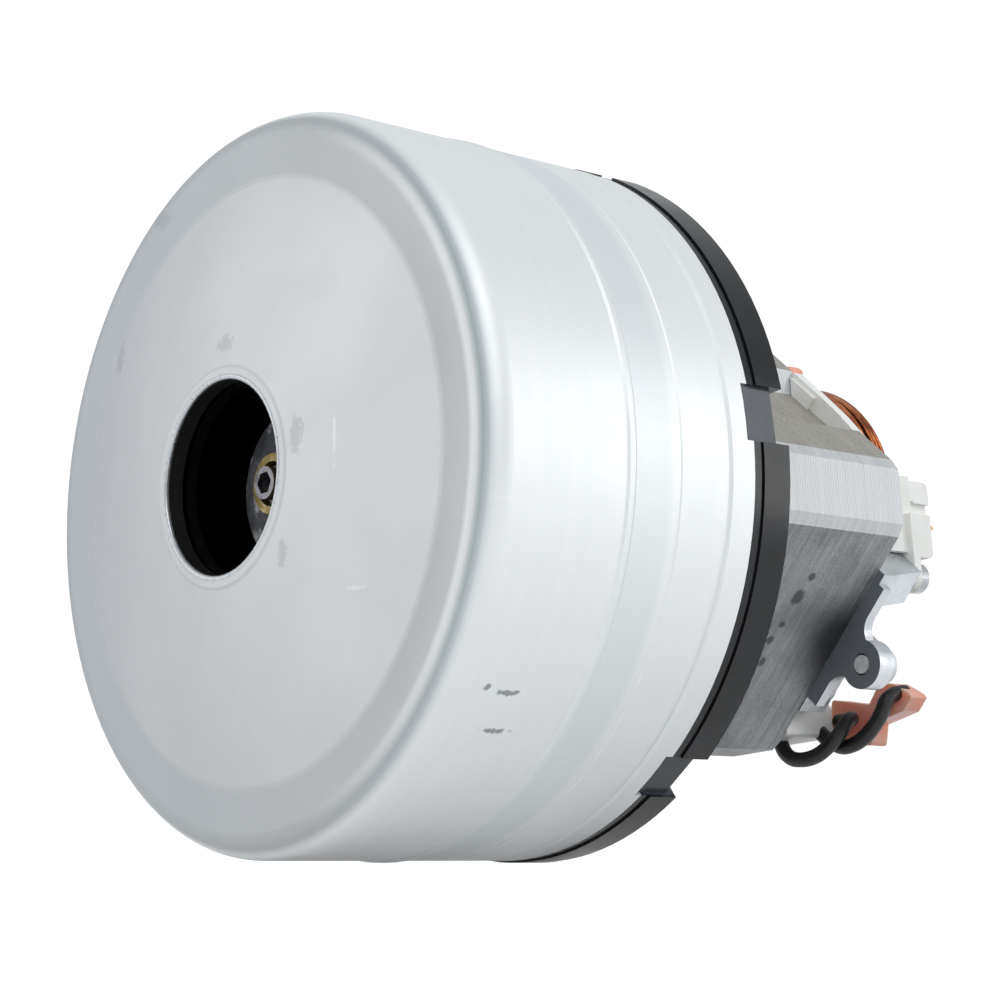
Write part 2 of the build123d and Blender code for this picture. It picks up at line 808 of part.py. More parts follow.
def make_former():
    # rear insulating former of one pole; the front one is its mirror image
    clear = coil_arc_offset - coil_bend_inner + wire_r + former_lip_gap
    out = Vector(math.cos(coil_angle), math.sin(coil_angle))
    along = Vector(math.sin(coil_angle), -math.cos(coil_angle))
    apex_x = clear / math.sin(coil_angle)
    far = out * face_distance + along * clear
    wedge = make_face(Polyline(
        (apex_x, 0), (far.X, far.Y), (2 * face_distance, far.Y), (2 * face_distance, -far.Y),
        (far.X, -far.Y), close=True))
    saddle_outer = coil_outer_r - arc_shorter
    saddle_inner = saddle_outer - saddle_wall
    plate = (Pos(arc_centre_x, 0) * Circle(saddle_outer)) & wedge
    edge = [(former_reach, -former_near), (former_reach, 0),
            (former_reach - former_fall / 4, former_near), (former_reach - former_fall, former_far)]
    plate += make_face(Polyline(
        (saddle_outer, -former_near), *edge, (saddle_outer, former_far), close=True))
    plate -= Circle(bore_r + former_sheet)
    low = stack_rear_z
    former = drawn(plate, low, low + former_sheet)
    inner_edge = [(x - former_lip, y) for x, y in reversed(edge)]
    former += drawn(make_face(Polyline(*edge, *inner_edge, close=True)), low,
                    low + former_lip_height)
    saddle = make_face(Plane.XZ * Polyline(
        (saddle_inner, 0), (saddle_outer, 0), (saddle_outer, saddle_top), (saddle_inner, saddle_top),
        close=True))
    saddle = revolve(Rot(0, 0, -saddle_half_deg) * saddle, axis=Axis.Z,
                     revolution_arc=2 * saddle_half_deg)
    former += Pos(arc_centre_x, 0, low) * saddle
    # a tooth that stands forward in the recess, beside its steep wall
    tooth_inner = face_distance - recess_drop + touch
    tooth_outer = former_reach - former_tooth_drop
    wall_line = recess_far * root_two + former_lip_gap
    tooth = make_face(Polyline(
        (tooth_inner, wall_line - tooth_inner), (tooth_outer, wall_line - tooth_outer),
        (tooth_outer, former_tooth_far), (tooth_inner, former_tooth_far), close=True))
    return former + drawn(tooth, low - former_tooth_depth, low + touch)


def make_terminal_block(left_x, right_x):
    low = stack_rear_z
    high = low + block_height
    body = block((left_x, right_x), (block_inner_y, block_outer_y), (low, high))
    body = fillet(body.edges().filter_by(Axis.Z), flag_round)
    middle_y = (block_inner_y + block_outer_y) / 2
    half = block_pocket_width / 2
    return body - block((block_pocket_x - half, block_pocket_x + half),
                        (middle_y - block_pocket_depth / 2, middle_y + block_pocket_depth / 2),
                        (high - block_pocket_height, high + overrun))


def make_terminal_tab(clearance):
    # the flat tab that stands in the block and pushes into the flag connector
    low = stack_rear_z + block_height - block_pocket_height
    middle_y = (block_inner_y + block_outer_y) / 2
    half_width = tab_width / 2 + clearance
    half_thickness = tab_thickness / 2 + clearance
    high = lower_flag_centre[2] - flag_body[2] / 2 + flag_grip
    return block((block_pocket_x - half_width, block_pocket_x + half_width),
                 (middle_y - half_thickness, middle_y + half_thickness),
                 (low - clearance, high + clearance))


def make_armature_core():
    face = Circle(armature_r) - Circle(shaft_body_r)
    slot = Pos(slot_body_centre_r, 0) * Circle(slot_body_r)
    slot += Pos((slot_body_centre_r + armature_r + overrun) / 2, 0) * Rectangle(
        armature_r + overrun - slot_body_centre_r, slot_mouth)
    for k in range(armature_slots):
        face -= turned(slot, k * 360.0 / armature_slots)
    return drawn(face, armature_front_z, armature_rear_z)


def overhang_ring(low, high):
    ring = tube(overhang_outer_r, overhang_inner_r, low, high)
    rims = ring.edges().filter_by(GeomType.CIRCLE).filter_by(
        lambda edge: abs(edge.radius - overhang_outer_r) < touch)
    return fillet(rims, overhang_round)


def make_armature_winding():
    rings = [overhang_ring(overhang_front_z, armature_front_z),
             overhang_ring(armature_rear_z, overhang_rear_z)]
    bar = Pos(slot_body_centre_r, 0, 0) * rod(slot_body_r - winding_gap, armature_front_z - touch,
                                              armature_rear_z + touch)
    bars = [turned(bar, k * 360.0 / armature_slots) for k in range(armature_slots)]
    return fused(rings + bars)


def commutator_bars():
    bars = []
    inner_r = commutator_r - commutator_bar_depth
    ring = tube(commutator_r, inner_r, commutator_front_z, commutator_rear_z)
    ring += tube(riser_r, inner_r, commutator_front_z, commutator_front_z + riser_width)
    half = math.radians(180.0 / bar_count) - bar_gap / (2 * commutator_r)
    reach = 2 * riser_r
    wedge = make_face(Polyline(
        (0, 0), (reach * math.cos(half), -reach * math.sin(half)),
        (reach * math.cos(half), reach * math.sin(half)), close=True))
    one = ring & drawn(wedge, commutator_front_z - overrun, commutator_rear_z + overrun)
    for k in range(bar_count):
        bars.append(turned(one, k * 360.0 / bar_count))
    return bars


def leaning_leg(span, outer_low, outer_high, height):
    # a leg of the end bracket with a plain inner wall and an outer wall that leans inwards
    profile = make_face(Plane.XZ * Polyline(
        (leg_inner, 0), (outer_low, 0), (outer_low, flange_thickness), (outer_high, height),
        (leg_inner, height), close=True))
    width = span[1] - span[0]
    return Pos(0, span[1], stack_rear_z) * extrude(profile, width)


def flange_outline():
    # the flange beside a plain side, drawn round the ear in hollow curves
    neck_out = ear_out - ear_neck_set
    curve_out = flange_outer + ear_curve_out
    edges = Polyline((neck_out, ear_neck_half), (ear_out, ear_neck_half), (ear_out, -ear_neck_half),
                     (neck_out, -ear_neck_half))
    edges += ThreePointArc((neck_out, -ear_neck_half), (curve_out, -ear_curve_half),
                           (flange_outer, -flange_flat))
    edges += Polyline((flange_outer, -flange_flat), (flange_outer, -flange_far),
                      (leg_inner, -flange_far), (leg_inner, flange_near),
                      (flange_outer, flange_near), (flange_outer, flange_flat))
    edges += ThreePointArc((flange_outer, flange_flat), (curve_out, ear_curve_half),
                           (neck_out, ear_neck_half))
    return make_face(edges)


def make_end_bracket():
    low = stack_rear_z
    hub_r = bearing_r + rear_hub_wall
    seat_rear_z = rear_bearing_z + bearing_width
    hub_rear_z = seat_rear_z + rear_hub_cap
    bracket = rod(hub_r, rear_bearing_z, hub_rear_z)
    arm_end = hub_r - rear_hub_wall / 2
    arm = make_face(Plane.XZ * Polyline(
        (arm_foot_inner, low + arm_foot_low), (arm_foot_outer, low + arm_foot_low),
        (arm_foot_outer, low + arm_foot_high), (arm_knee, low + arm_knee_height),
        (arm_end, hub_rear_z - touch), (arm_end, rear_bearing_z + rear_hub_wall),
        (arm_under, low + arm_under_height), close=True))
    arm = extrude(arm, arm_half_width, both=True)
    flange = drawn(flange_outline(), low, low + flange_thickness)
    neck = block((flange_outer - ear_neck_set, ear_out), (-ear_neck_half, ear_neck_half),
                 (low, low + ear_thickness))
    ear = Pos(ear_out, 0, 0) * rod(ear_r, low, low + ear_thickness)
    high_leg = leaning_leg((-leg_far, -leg_near), leg_outer, leg_top_outer, leg_height)
    low_leg = leaning_leg((low_leg_near, low_leg_far), low_leg_outer, low_leg_outer,
                          low_leg_height)
    wall = block((leg_inner, wall_outer), (-leg_near - touch, low_leg_near + touch),
                 (low, low + wall_height))
    for side in (plain_side_deg, plain_side_deg + half_turn):
        bracket += turned(fused([flange, neck, ear, high_leg, low_leg, wall]), side)
        bracket += turned(arm, side + arm_lean_deg)
    bracket -= rod(bearing_r, rear_bearing_z - overrun, seat_rear_z)
    bracket -= rod(bearing_r - race_wall, rear_bearing_z, seat_rear_z + sheet)
    bolt_hole = rod(bolt_r + bolt_clearance, low - overrun, high_leg_top_z + overrun)
    ear_hole = Pos(ear_out, 0, 0) * rod(ear_screw_r + ear_hole_clearance, low - overrun,
                                       low + ear_thickness + overrun)
    for side, across in bolt_spots():
        bracket -= at_bolt(bolt_hole, side, across)
    for side in (plain_side_deg, plain_side_deg + half_turn):
        bracket -= turned(ear_hole, side)
    return bracket


def through_bolts(head_z, across):
    bolt = rod(bolt_r, stack_front_z - bolt_reach + bolt_tip_gap, head_z)
    bolt += rod(bolt_head_r, head_z, head_z + bolt_head_height)
    return [at_bolt(bolt, side, across) for side in (plain_side_deg, plain_side_deg + half_turn)]


def ear_screws():
    top = stack_rear_z + ear_thickness
    screw = rod(ear_screw_r, stack_rear_z, top)
    screw += rod(ear_screw_head_r, top, top + ear_screw_head_height)
    return [turned(Pos(ear_out, 0, 0) * screw, side)
            for side in (plain_side_deg, plain_side_deg + half_turn)]


def channel(clearance, x_range):
    # the brush's section grown by a clearance
    half_width = brush_width / 2 + clearance
    half_height = brush_height / 2 + clearance
    return block(x_range, (-half_width, half_width),
                 (brush_plane_z - half_height, brush_plane_z + half_height))


def make_brush_holder():
    body = block((holder_inner_x, holder_outer_x), (-holder_half_width, holder_half_width),
                 (holder_front_z, holder_rear_z))
    body = fillet(body.edges().filter_by(Axis.X), holder_corner)
    body -= block((holder_outer_x - holder_groove, holder_outer_x + overrun),
                  (-holder_groove_near, -holder_groove_far),
                  (holder_front_z - overrun, holder_rear_z + overrun))
    foot = block((foot_inner_x, foot_outer_x), (0, foot_outer_y),
                 (holder_front_z, holder_front_z + foot_height))
    body += fillet(foot.edges().filter_by(Axis.Z).group_by(Axis.Y)[-1], foot_corner)
    body += block((holder_outer_x - holder_corner, skirt_outer_x),
                  (-holder_half_width + holder_corner, holder_half_width - holder_corner),
                  (holder_front_z, holder_front_z + foot_height))
    body += block((skirt_inner_x, skirt_outer_x), (-holder_half_width, holder_half_width - touch),
                  (stack_rear_z + skirt_gap, holder_front_z + foot_height))
    body -= channel(brush_clearance + tube_wall, (holder_inner_x - overrun, tube_outer_x))
    bolt_hole = rod(bolt_r + bolt_clearance, holder_front_z - overrun, high_leg_top_z + overrun)
    body -= at_bolt(bolt_hole, plain_side_deg, -bolt_across)
    tab_top = brush_plane_z + brush_height / 2 + brush_clearance + tube_wall
    body -= block((brush_tab_x, brush_tab_x + brush_tab_width),
                  (-tab_thickness / 2, tab_thickness / 2), (tab_top - touch, holder_rear_z + overrun))
    dimple = Rot(0, quarter_turn, 0) * Cylinder(tab_thickness, tab_thickness)
    for side in (-1, 1):
        body -= Pos(holder_outer_x, side * brush_width / 2, brush_plane_z) * dimple
    return body


def make_brush_tube():
    outer = channel(brush_clearance + tube_wall, (tube_inner_x, tube_outer_x))
    return outer - channel(brush_clearance, (tube_inner_x - overrun, tube_outer_x + overrun))


def make_brush():
    face_r = commutator_r + brush_gap
    body = channel(0, (face_r - overrun, face_r + brush_length))
    return body - rod(face_r, commutator_front_z, commutator_rear_z + overrun)


def make_brush_tab():
    tab_top = brush_plane_z + brush_height / 2 + brush_clearance + tube_wall
    return block((brush_tab_x, brush_tab_x + brush_tab_width),
                 (-tab_thickness / 2, tab_thickness / 2),
                 (tab_top, holder_rear_z + brush_tab_length))


def make_spring():
    # half-turn arcs that meet in line, from the back of the brush to the end of the tube
    start_x = commutator_r + brush_gap + brush_length + spring_wire / 2 + spring_end_gap
    end_x = tube_outer_x - spring_wire / 2 - spring_end_gap
    step = (end_x - start_x) / (2 * spring_turns)
    edges = []
    for k in range(2 * spring_turns):
        x = start_x + k * step
        side = 1 if k % 2 == 0 else -1
        edges.append(ThreePointArc(
            (x, side * spring_coil_r, brush_plane_z),
            (x + step / 2, 0, brush_plane_z + side * spring_coil_r),
            (x + step, -side * spring_coil_r, brush_plane_z)))
    path = Wire([edge.edge() for edge in edges])
    section = Plane(origin=path @ 0, z_dir=path % 0) * RegularPolygon(spring_wire / 2, spring_sides)
    pitch_gap = 2 * step - spring_wire
    print("brush spring turns", spring_turns, "least gap", round(pitch_gap, 2))
    return sweep(section, path=path)


def make_flag(centre, angle):
    body = Box(*flag_body)
    body = Rot(0, 0, angle) * fillet(body.edges().filter_by(Axis.Z), flag_round)
    length, width, height = flag_body
    tail = make_face(Polyline(*[(across * length, down * length) for across, down in
                                flag_tail_shares], close=True))
    return Pos(*centre) * (body + drawn(tail, -height / 2, height / 2))


def make_lead(route, cut_by):
    corners = [Vector(*spot) for spot in route]
    radii = []
    for before, corner, after in zip(corners, corners[1:], corners[2:]):
        turn = math.radians((corner - before).get_angle(after - corner))
        run = min((corner - before).length, (after - corner).length)
        radii.append(fillet_share * run / math.tan(turn / 2))
    print("lead radii", [round(radius, 1) for radius in radii])
    path = FilletPolyline(*corners, radius=radii)
    section = Plane(origin=path @ 0, z_dir=path % 0) * Circle(lead_r)
    lead = sweep(section, path=path)
    print("lead length", round(path.length, 1), "volume over section times length",
          round(lead.volume / (math.pi * lead_r ** 2 * path.length), 3))
    for piece in cut_by:
        lead -= piece
    return lead


# pieces that turn with the shaft
brass_front_z = boss_front_z - brass_washer_height
fan1_rear_z = fan1_back_z + fan_sheet + clamp_washer_height
fan2_front_z = fan2_back_z - clamp_washer_height
fan2_rear_z = fan2_back_z + fan_sheet + clamp_washer_height
save("shaft", [make_shaft()])
save("shaft_nut", [make_nut(boss_front_z - nut_height)])
save("brass_washer", [
    tube(brass_washer_r, brass_washer_r - brass_washer_wall, brass_front_z, boss_front_z),
])
save("clamp_washers", [
    make_boss(),
    tube(clamp_washer_r, shaft_r, fan1_back_z + fan_sheet, fan1_rear_z),
    tube(clamp_washer_r, shaft_r, fan2_front_z, fan2_back_z),
    tube(clamp_washer_r, shaft_r, fan2_back_z + fan_sheet, fan2_rear_z),
])
save("spacer_sleeves", [
    tube(spacer_r, shaft_r, fan1_rear_z, fan2_front_z),
    tube(shaft_r + race_wall, shaft_r, fan2_rear_z, front_bearing_z),
])
save("fan1_front_plate", [fan_front(fan1_eye_z, fan1_shoulder_z, fan1_tip_z)])
save("fan1_blades", fan_blades(fan1_shoulder_z, fan1_tip_z, fan1_back_z))
save("fan1_back_plate", [tube(fan_r, shaft_r, fan1_back_z, fan1_back_z + fan_sheet)])
save("fan2_front_plate", [fan_front(fan2_eye_z, fan2_shoulder_z, fan2_tip_z)])
save("fan2_blades", fan_blades(fan2_shoulder_z, fan2_tip_z, fan2_back_z))
save("fan2_back_plate", [tube(fan_r, shaft_r, fan2_back_z, fan2_back_z + fan_sheet)])
save("armature_core", [make_armature_core()])
save("armature_winding", [make_armature_winding()])
save("commutator_bars", commutator_bars())
save("commutator_hub", [tube(commutator_r - commutator_bar_depth, shaft_body_r,
                             commutator_front_z, commutator_rear_z)])

# housing, guides and bracket
save("fan_housing", [make_fan_housing()])
save("interstage_guide", [make_interstage_guide()])
save("stage2_inlet_plate", [make_stage2_plate()])
save("diffuser", [make_diffuser()])
save("fan_end_bracket", [make_fan_end_bracket()])

# bearings
for name, low in (("front", front_bearing_z), ("rear", rear_bearing_z)):
    outer, inner, balls, cage = bearing(low)
    save(f"{name}_bearing_outer", [outer])
    save(f"{name}_bearing_inner", [inner])
    save(f"{name}_bearing_balls", balls)
    save(f"{name}_bearing_cage", [cage])

# stator, coils and insulation; the upper coil sits on the pole side in view
save("stator_core", [make_stator_core()])
winding = make_field_winding()
core = make_field_core()
former = make_former()
front_former = Pos(0, 0, 2 * coil_mid_z) * mirror(former, about=Plane.XY)
terminal_block = make_terminal_block(block_left_x, block_right_x)
upper_block = make_terminal_block(upper_block_left_x, upper_block_right_x)
terminal_tab = make_terminal_tab(0)
for name, angle in (("upper", pole_side_deg), ("lower", pole_side_deg + half_turn)):
    save(f"field_winding_{name}", [turned(winding, angle)])
    save(f"field_core_{name}", [turned(core, angle)])
    save(f"coil_formers_{name}", [turned(former, angle), turned(front_former, angle)])
for name, angle, carrier in (("lower", 0, terminal_block), ("upper", half_turn, upper_block)):
    save(f"terminal_block_{name}", [turned(carrier, angle)])
    save(f"terminal_tab_{name}", [turned(terminal_tab, angle)])

# end bracket and fasteners
save("end_bracket", [make_end_bracket()])
save("through_bolts_long", through_bolts(high_leg_top_z, -bolt_across))
save("through_bolts_short", through_bolts(low_leg_top_z, bolt_across))
save("ear_screws", ear_screws())

# brush gear
holder = make_brush_holder()
brush_tube = make_brush_tube()
brush = make_brush()
spring = make_spring()
brush_tab = make_brush_tab()
for name, angle in (("right", 0), ("left", half_turn)):
    save(f"brush_holder_{name}", [turned(holder, angle)])
    save(f"brush_tube_{name}", [turned(brush_tube, angle)])
    save(f"carbon_brush_{name}", [turned(brush, angle)])
    save(f"brush_spring_{name}", [turned(spring, angle)])
    save(f"brush_terminal_{name}", [turned(brush_tab, angle)])

# connectors and leads
tab_slot = make_terminal_tab(touch)
lower_flag = make_flag(lower_flag_centre, lower_flag_angle) - tab_slot
straight = fillet(Box(*straight_body).edges().filter_by(Axis.Z), flag_round)
straight = Pos(*upper_centre) * straight - turned(tab_slot, half_turn)
save("flag_connector", [lower_flag])
save("straight_connector", [straight])
save("lead_lower_long", [make_lead(lower_long_route, [lower_flag, terminal_block])])
save("lead_lower_short", [make_lead(lower_short_route, [terminal_block, terminal_tab])])
save("lead_upper", [make_lead(upper_route, [
    straight, turned(brush_tab, half_turn), turned(terminal_tab, half_turn)])])
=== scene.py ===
import math

import bmesh
import bpy
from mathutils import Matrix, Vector


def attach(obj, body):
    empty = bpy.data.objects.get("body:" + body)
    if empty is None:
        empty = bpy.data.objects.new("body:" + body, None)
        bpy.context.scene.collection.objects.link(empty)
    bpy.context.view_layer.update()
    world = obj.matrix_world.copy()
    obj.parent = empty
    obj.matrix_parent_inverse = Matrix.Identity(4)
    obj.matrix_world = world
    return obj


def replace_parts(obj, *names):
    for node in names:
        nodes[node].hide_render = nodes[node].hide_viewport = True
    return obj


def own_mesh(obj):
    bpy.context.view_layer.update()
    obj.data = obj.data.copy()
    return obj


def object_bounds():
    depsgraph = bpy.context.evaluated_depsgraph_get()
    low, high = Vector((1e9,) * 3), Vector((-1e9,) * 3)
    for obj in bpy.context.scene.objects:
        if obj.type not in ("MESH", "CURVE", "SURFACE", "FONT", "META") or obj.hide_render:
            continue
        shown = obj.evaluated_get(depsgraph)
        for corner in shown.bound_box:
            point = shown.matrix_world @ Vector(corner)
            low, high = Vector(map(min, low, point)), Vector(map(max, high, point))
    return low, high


# Two-stage vacuum motor unit on a white ground, in metres. The inlet lip is at the origin, the
# shaft runs along +Y and +Z is up.
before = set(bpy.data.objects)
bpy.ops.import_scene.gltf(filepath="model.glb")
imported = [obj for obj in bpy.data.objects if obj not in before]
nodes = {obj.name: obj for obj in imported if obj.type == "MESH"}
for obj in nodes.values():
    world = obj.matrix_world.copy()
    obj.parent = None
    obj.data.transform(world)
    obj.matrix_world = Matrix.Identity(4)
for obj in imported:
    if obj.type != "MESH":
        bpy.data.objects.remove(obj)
cad_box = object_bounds()
bpy.ops.object.select_all(action="DESELECT")

# Fan housing: the can that holds both fans. It is zinc-coated steel sheet, deep drawn in one piece
# with a pressed band round its side, and it is rolled over the black ring behind it.

MM = 0.001
FACE_R = 58.9 * MM
ROLLED_EDGE_R = 71.0 * MM
SIDE_R = 70.0 * MM
THROAT_R = 19.0 * MM
PRESSED_BAND = (38.5 * MM, 50.5 * MM)
HALF_WIDTH = 60 * MM
SMUDGES = (((0, 3, 26), (3, 9, 2)), ((24, 3, 5), (2.2, 9, 4)), ((20, 3, -16.5), (1.6, 9, 3)),
           ((-47, 6, 31), (2.5, 5, 4)), ((-33, 6, 58), (4, 5, 2)))
# Dents, as painted shade: centres and half sizes in millimetres.
DENT_SHADES = (((57.9, 22.6, -42.9), (0.8, 2.9, 0.7)), ((52.5, 23.6, -49.2), (0.8, 3.3, 0.6)),
         ((58.4, 17.5, -42.1), (0.6, 0.8, 1.6)))
SCRATCHES = (((34, 3, 3), (0.5, 9, 5)), ((38, 3, -24), (3, 9, 0.5)), ((71, 10.6, -11), (3, 1.4, 0.5)))


def linear(hex_colour):
    """A colour picked as sRGB hex, as the linear values that shaders take."""
    values = []
    for k in (0, 2, 4):
        share = int(hex_colour[k:k + 2], 16) / 255
        values.append(share / 12.92 if share <= 0.04045 else ((share + 0.055) / 1.055) ** 2.4)
    return (*values, 1.0)


def per_metre(size):
    """How often a pattern repeats in a metre, from its size in millimetres."""
    return 1 / (size * MM)


def put(socket, value):
    """A link, a hex colour or a plain value into a socket."""
    if isinstance(value, bpy.types.NodeSocket):
        socket.id_data.links.new(value, socket)
    elif isinstance(value, str):
        socket.default_value = linear(value)
    else:
        socket.default_value = value


def add_node(tree, kind, *inputs, out=None, stops=(), **words):
    """A node, its inputs filled in order. A word names a setting or, capitalised, an input.

    Stops are the (place, hex colour) pairs of a colour ramp, from low to high."""
    node = tree.nodes.new("ShaderNode" + kind)
    for word, value in words.items():
        if word[0].isupper():
            put(node.inputs[word.replace("_", " ")], value)
        else:
            setattr(node, word, value)
    for k, (place, colour) in enumerate(stops):
        elements = node.color_ramp.elements
        stop = elements[k] if k < len(elements) else elements.new(place)
        stop.position = place
        stop.color = linear(colour)
    in_use = [socket for socket in node.inputs if socket.enabled]
    for socket, value in zip(in_use, inputs):
        put(socket, value)
    if out:
        return node.outputs[out]
    return next(socket for socket in node.outputs if socket.enabled)


class Recipe:
    """One material: its node tree, its shader and its object coordinates."""

    def __init__(self, name):
        self.material = bpy.data.materials.new(name)
        self.material.use_nodes = True
        self.tree = self.material.node_tree
        self.shader = self.tree.nodes["Principled BSDF"]
        self.place = self.add("TexCoord", out="Object")

    def add(self, kind, *inputs, **words):
        return add_node(self.tree, kind, *inputs, **words)

    def shade(self, **inputs):
        """The finished material, with these inputs on its shader."""
        for name, value in inputs.items():
            put(self.shader.inputs[name.replace("_", " ")], value)
        return self.material

    def grain(self, size, detail, roughness):
        """A random pattern from its size in millimetres, one for all axes or one for each."""
        sizes = size if isinstance(size, tuple) else (size, size, size)
        place = self.add("VectorMath", self.place, [per_metre(value) for value in sizes],
                         operation="MULTIPLY")
        return self.add("TexNoise", place, Scale=1.0, Detail=detail, Roughness=roughness)

    def weighed(self, *patterns):
        """The sum of (pattern, weight) pairs."""
        total = 0.0
        for pattern, weight in patterns:
            total = self.add("Math", pattern, weight, total, operation="MULTIPLY_ADD")
        return total

    def mask(self, *ramps):
        """1 where each (value, start, full) ramp has reached full, fading to 0 at any's start."""
        shown = 1.0
        for value, start, full in ramps:
            reached = self.add("MapRange", value, start, full)
            shown = self.add("Math", reached, shown, operation="MULTIPLY")
        return shown

    def over(self, base, colour, mask, strength=1.0):
        """Base with a colour laid over it, as strongly as this, where the mask is 1."""
        share = self.add("Math", mask, strength, operation="MULTIPLY")
        return self.add("Mix", share, base, colour, data_type="RGBA")

    def from_shaft(self):
        """Distance from the shaft's line."""
        across = self.add("VectorMath", self.place, (1, 0, 1), operation="MULTIPLY")
        return self.add("VectorMath", across, operation="LENGTH")

    def spot(self, centre, size, soft, ragged=0.0):
        """1 inside an ellipsoid in millimetres, 0 outside, with a soft or ragged rim."""
        moved = self.add("VectorMath", self.place, [value * MM for value in centre],
                         operation="SUBTRACT")
        scaled = self.add("VectorMath", moved, [per_metre(value) for value in size],
                          operation="MULTIPLY")
        reach = self.add("VectorMath", scaled, operation="LENGTH")
        if ragged:
            wander = self.add("MapRange", self.grain(1.111, 3, 0.6), 0.3, 0.7, -ragged, ragged)
            reach = self.add("Math", reach, wander, operation="ADD")
        return self.mask((reach, 1.0, soft))

    def marked(self, base, colour, strength, spots, ragged=0.5):
        """Base with marks of a colour; each spot is a centre and its half sizes."""
        for centre, size in spots:
            base = self.over(base, colour, self.spot(centre, size, 0.6, ragged), strength)
        return base


def drawn_galvanised_sheet():
    """Zinc-coated steel, deep drawn: satin face, rolled edge and pale side; painted light on the right.
    """
    m = Recipe("drawn_galvanised_sheet")
    radius = m.from_shaft()
    across, along, _ = m.add("SeparateXYZ", m.place).node.outputs
    mottle = m.grain(26.32, 5, 0.6)
    # A grain a few hundredths of a millimetre wide is drawn about 1 mm wide, here and below, to show.
    grain = m.grain(1.111, 2, 0.5)
    # Painted light: the face and the band are lighter towards the right, where the light falls.
    painted_light_rightward = m.mask((across, -HALF_WIDTH, HALF_WIDTH))
    face = m.over("C6C8CB", "DADADA", painted_light_rightward)
    face = m.over(face, "A9ACAF", m.mask((mottle, 0.3, 0.7)), 0.12)
    # The rolled edge, from the face outwards, with painted highlight and shade rings on the right only.
    rings = m.add("ValToRGB", m.mask((radius, FACE_R, ROLLED_EDGE_R)),
                  stops=((0.0, "B7B9BB"), (0.55, "BEC0C1"), (0.66, "DFDFDE"), (0.74, "DCDDDC"),
                         (0.85, "AFB8BA"), (0.98, "DADEE0")))
    plain = m.over("B6BABD", "B9BBBD", painted_light_rightward)
    rings = m.over(plain, rings, m.mask((across, HALF_WIDTH / 3, HALF_WIDTH)))
    base = m.over(face, rings, m.mask((radius, FACE_R - 0.8 * MM, FACE_R + 0.6 * MM)))
    # Long streaks round the can, left by the drawing die.
    rolled = m.grain((666.7, 3.125, 666.7), 3, 0.6)
    side = m.over("EEF0F1", "E0E4E6", m.mask((rolled, 0.35, 0.65)), 0.18)
    front, rear = PRESSED_BAND
    side = m.over(side, "E4E8E9", m.mask((along, front, front + 2 * MM),
                                         (along, rear, rear - 2 * MM)))
    base = m.over(base, side, m.mask((radius, SIDE_R, SIDE_R + 1.2 * MM)))
    base = m.marked(base, "8D9093", 0.3, SMUDGES)
    # Dents drawn only as dark marks: painted shade.
    base = m.marked(base, "6E7478", 0.75, DENT_SHADES)
    base = m.marked(base, "F4F5F5", 0.35, SCRATCHES)
    # Inside the inlet the sheet is black with shade.
    throat = m.mask((radius, THROAT_R + 0.1 * MM, THROAT_R - 0.1 * MM), (along, 0.3 * MM, 0.8 * MM))
    uneven = m.weighed((mottle, 1), (grain, 0.4))
    return m.shade(Base_Color=m.over(base, "060606", throat),
                   Metallic=m.add("MapRange", throat, 0.0, 1.0, 0.5, 0.0),
                   Roughness=m.add("MapRange", uneven, 0.4, 1.0, 0.44, 0.56),
                   Normal=m.add("Bump", Height=grain, Distance=0.04 * MM, Strength=0.3))


def dress(material, *names):
    for name in names:
        slots = nodes[name].data.materials
        slots.clear()
        slots.append(material)


dress(drawn_galvanised_sheet(), "fan_housing")


# Inlet lip: the edge of the can's hole, rolled inwards so that no sharp sheet is left. It is the
# can's own sheet, drawn here as a ring round the frame's plain corner.

LIP_R = 19.35 * MM
LIP_DEPTH = 0.42 * MM
LIP_ROLL = 0.62 * MM
ROLL_STEPS = 16
LIP_STEPS = 160


def grained(name, size, stops, rough, bumps=None, detail=3, roughness=0.6, **shader):
    """A material of one even grain, which tints, dulls and lifts the surface together.

    Rough is the range of the shader's roughness; bumps are a depth in millimetres and a strength."""
    m = Recipe(name)
    grain = m.grain(size, detail, roughness)
    if bumps:
        depth, strength = bumps
        shader["Normal"] = m.add("Bump", Height=grain, Distance=depth * MM, Strength=strength)
    return m.shade(Base_Color=m.add("ValToRGB", grain, stops=stops),
                   Roughness=m.add("MapRange", grain, 0.3, 0.7, *rough), **shader)


def rolled_sheet_edge():
    """The same sheet rolled tight at the inlet: smoother, so its highlight is sharper."""
    return grained("rolled_sheet_edge", 1.111, ((0.3, "B9BCBF"), (0.7, "CDD0D2")), (0.25, 0.36),
                   (0.03, 0.3), roughness=0.5, Metallic=0.6)


def still_piece(name, data, material):
    """A new object of the motor body, which doesn't move."""
    data.materials.append(material)
    piece = bpy.data.objects.new(name, data)
    bpy.context.collection.objects.link(piece)
    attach(piece, "motor_body")
    return piece


def rolled_lip(material):
    """The rolled edge of the inlet, a ring round the sheet's sharp corner."""
    points = []
    faces = []
    for step in range(LIP_STEPS):
        turn = 2 * math.pi * step / LIP_STEPS
        here = step * ROLL_STEPS
        there = (step + 1) % LIP_STEPS * ROLL_STEPS
        for k in range(ROLL_STEPS):
            roll = 2 * math.pi * k / ROLL_STEPS
            radius = LIP_R + LIP_ROLL * math.cos(roll)
            points.append((radius * math.cos(turn), LIP_DEPTH + LIP_ROLL * math.sin(roll),
                           radius * math.sin(turn)))
            after = (k + 1) % ROLL_STEPS
            faces.append((here + k, here + after, there + after, there + k))
    mesh = bpy.data.meshes.new("rolled_lip")
    mesh.from_pydata(points, [], faces)
    mesh.polygons.foreach_set("use_smooth", [True] * len(faces))
    still_piece("rolled_lip", mesh, material)


rolled_lip(rolled_sheet_edge())


# Fans and guide: aluminium sheet, stamped, the blades riveted between their plates. The first fan
# stands right behind the inlet, and the guide and its plate lead the air to the second.


